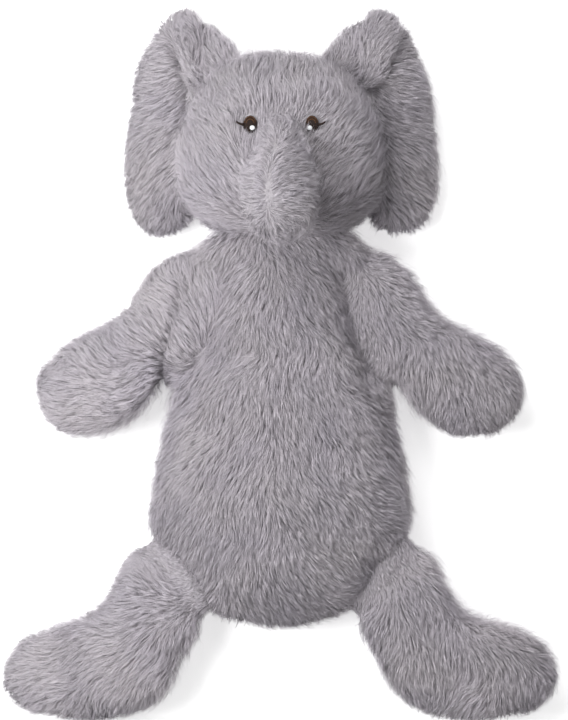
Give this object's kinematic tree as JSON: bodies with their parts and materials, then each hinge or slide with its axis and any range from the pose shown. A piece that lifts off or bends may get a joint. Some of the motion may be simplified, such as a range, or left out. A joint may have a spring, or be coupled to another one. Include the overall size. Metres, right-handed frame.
{
  "type": "stuffed elephant",
  "caption": "Soft flat-bodied elephant of long-pile grey plush, with floppy ears, a stuffed trunk and limbs that fold forward and back on sewn seams.",
  "frame": {"origin": "on the plane of the soles, under the middle of the whole width and depth", "axes": "+Z from the soles to the ear tips, the face looks along -Y, the toy's own left is +X"},
  "size_m": [0.3024, 0.1056, 0.3958],
  "materials": {
    "grey_plush": "long soft pile",
    "backing_cloth": "knitted, matte",
    "stuffing": "loose polyester fibre",
    "dark_thread": "satin stitch",
    "golden_thread": "satin stitch",
    "white_thread": "satin stitch"
  },
  "bodies": {
    "torso": {"body_front_panel": "grey_plush", "body_back_panel": "grey_plush", "body_stuffing": "stuffing", "neck_seam": "backing_cloth", "left_shoulder_seam": "backing_cloth", "right_shoulder_seam": "backing_cloth", "left_hip_seam": "backing_cloth", "right_hip_seam": "backing_cloth"},
    "head": {"left_head_front_panel": "grey_plush", "right_head_front_panel": "grey_plush", "head_back_panel": "grey_plush", "head_stuffing": "stuffing", "left_ear_base": "grey_plush", "right_ear_base": "grey_plush", "left_ear_seam": "backing_cloth", "right_ear_seam": "backing_cloth", "trunk_seam": "backing_cloth", "left_eye_pupil": "dark_thread", "left_eye_arc": "golden_thread", "left_eye_highlight": "white_thread", "left_eye_lash": "dark_thread", "right_eye_pupil": "dark_thread", "right_eye_arc": "golden_thread", "right_eye_highlight": "white_thread", "right_eye_lash": "dark_thread"},
    "trunk": {"left_trunk_panel": "grey_plush", "right_trunk_panel": "grey_plush", "trunk_stuffing": "stuffing"},
    "left_ear": {"left_ear_front_panel": "grey_plush", "left_ear_back_panel": "grey_plush", "left_ear_wadding": "stuffing", "left_ear_pleat": "grey_plush"},
    "left_arm": {"left_arm_front_panel": "grey_plush", "left_arm_back_panel": "grey_plush", "left_arm_stuffing": "stuffing"},
    "left_leg": {"left_leg_front_panel": "grey_plush", "left_leg_back_panel": "grey_plush", "left_leg_stuffing": "stuffing"},
    "right_ear": {"right_ear_front_panel": "grey_plush", "right_ear_back_panel": "grey_plush", "right_ear_wadding": "stuffing", "right_ear_pleat": "grey_plush"},
    "right_arm": {"right_arm_front_panel": "grey_plush", "right_arm_back_panel": "grey_plush", "right_arm_stuffing": "stuffing"},
    "right_leg": {"right_leg_front_panel": "grey_plush", "right_leg_back_panel": "grey_plush", "right_leg_stuffing": "stuffing"}
  },
  "joints": [
    {"name": "neck_nod", "type": "hinge", "parent": "torso", "child": "head", "pos_m": [0, 0.029, 0.267], "axis": [1, 0, 0], "range_deg": [-35, 25], "stiffness_Nm_per_rad": 0.03},
    {"name": "trunk_lift", "type": "hinge", "parent": "head", "child": "trunk", "pos_m": [0, -0.0116, 0.331], "axis": [-1, 0, 0], "range_deg": [-4, 70], "stiffness_Nm_per_rad": 0.004},
    {"name": "left_ear_fold", "type": "hinge", "parent": "head", "child": "left_ear", "pos_m": [0.045, 0.035, 0.3695], "axis": [0, 0, -1], "range_deg": [-30, 35], "stiffness_Nm_per_rad": 0.004},
    {"name": "left_arm_fold", "type": "hinge", "parent": "torso", "child": "left_arm", "pos_m": [0.0495, 0.029, 0.224], "axis": [0.2897, 0, -0.9571], "range_deg": [-35, 90], "stiffness_Nm_per_rad": 0.006},
    {"name": "left_leg_fold", "type": "hinge", "parent": "torso", "child": "left_leg", "pos_m": [0.05825, 0.029, 0.07775], "axis": [-0.6214, 0, -0.7835], "range_deg": [-35, 90], "stiffness_Nm_per_rad": 0.006},
    {"name": "right_ear_fold", "type": "hinge", "parent": "head", "child": "right_ear", "pos_m": [-0.045, 0.035, 0.3695], "axis": [0, 0, 1], "range_deg": [-30, 35], "stiffness_Nm_per_rad": 0.004},
    {"name": "right_arm_fold", "type": "hinge", "parent": "torso", "child": "right_arm", "pos_m": [-0.0495, 0.029, 0.224], "axis": [0.2897, 0, 0.9571], "range_deg": [-35, 90], "stiffness_Nm_per_rad": 0.006},
    {"name": "right_leg_fold", "type": "hinge", "parent": "torso", "child": "right_leg", "pos_m": [-0.05825, 0.029, 0.07775], "axis": [-0.6214, 0, 0.7835], "range_deg": [-35, 90], "stiffness_Nm_per_rad": 0.006}
  ]
}
